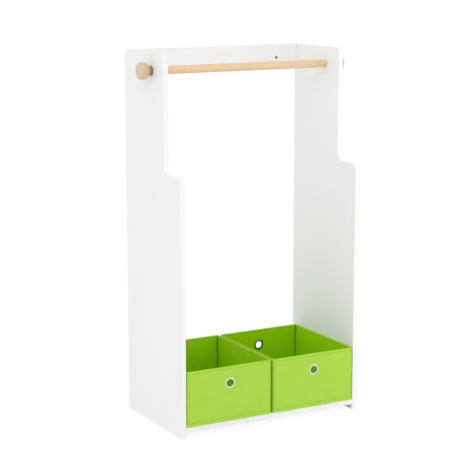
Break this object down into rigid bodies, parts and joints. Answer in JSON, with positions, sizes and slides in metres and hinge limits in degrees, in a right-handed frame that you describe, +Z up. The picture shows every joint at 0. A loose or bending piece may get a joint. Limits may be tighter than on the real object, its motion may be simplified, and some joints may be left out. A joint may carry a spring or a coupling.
{
  "type": "clothes rack",
  "caption": "Children's clothes rack with stepped white side panels, a wooden hanging rod held by turned knobs, a low shelf and open fabric storage boxes.",
  "frame": {"origin": "on the floor, midway between the side panels and midway from front to back", "axes": "+Z up, -Y to the front where the boxes pull out, +X to the right as seen from the front"},
  "size_m": [0.622, 0.3243, 1],
  "materials": {
    "white_board": "satin",
    "beech": "satin",
    "steel": "satin",
    "dowel_wood": "matte",
    "green_fabric": "matte",
    "stiff_board": "matte",
    "nickel": "polished"
  },
  "bodies": {
    "rack": {"left_side_panel": "white_board", "right_side_panel": "white_board", "top_rail": "white_board", "bottom_shelf": "white_board", "hanging_rod": "beech", "rod_knobs": "beech", "knob_studs": "steel", "rod_inserts": "steel", "rail_cam_bolts": "steel", "rail_cam_locks": "steel", "shelf_cam_bolts": "steel", "shelf_cam_locks": "steel", "rail_dowels": "dowel_wood", "shelf_dowels": "dowel_wood"},
    "left_box": {"left_box_front_wall": "green_fabric", "left_box_back_wall": "green_fabric", "left_box_left_wall": "green_fabric", "left_box_right_wall": "green_fabric", "left_box_base_fabric": "green_fabric", "left_box_front_stiffener": "stiff_board", "left_box_back_stiffener": "stiff_board", "left_box_left_stiffeners": "stiff_board", "left_box_right_stiffeners": "stiff_board", "left_box_eyelets": "nickel", "left_box_eyelet_washers": "nickel"},
    "right_box": {"right_box_front_wall": "green_fabric", "right_box_back_wall": "green_fabric", "right_box_left_wall": "green_fabric", "right_box_right_wall": "green_fabric", "right_box_base_fabric": "green_fabric", "right_box_front_stiffener": "stiff_board", "right_box_back_stiffener": "stiff_board", "right_box_left_stiffeners": "stiff_board", "right_box_right_stiffeners": "stiff_board", "right_box_eyelets": "nickel", "right_box_eyelet_washers": "nickel"},
    "left_insert": {"left_box_base_board": "stiff_board"},
    "right_insert": {"right_box_base_board": "stiff_board"}
  },
  "joints": [
    {"name": "left_box_slide", "type": "slide", "parent": "rack", "child": "left_box", "axis": [0, -1, 0], "range_m": [0, 0.3]},
    {"name": "right_box_slide", "type": "slide", "parent": "rack", "child": "right_box", "axis": [0, -1, 0], "range_m": [0, 0.3]},
    {"name": "left_insert_lift", "type": "slide", "parent": "left_box", "child": "left_insert", "axis": [0, 0, 1], "range_m": [0, 0.16]},
    {"name": "right_insert_lift", "type": "slide", "parent": "right_box", "child": "right_insert", "axis": [0, 0, 1], "range_m": [0, 0.16]}
  ]
}
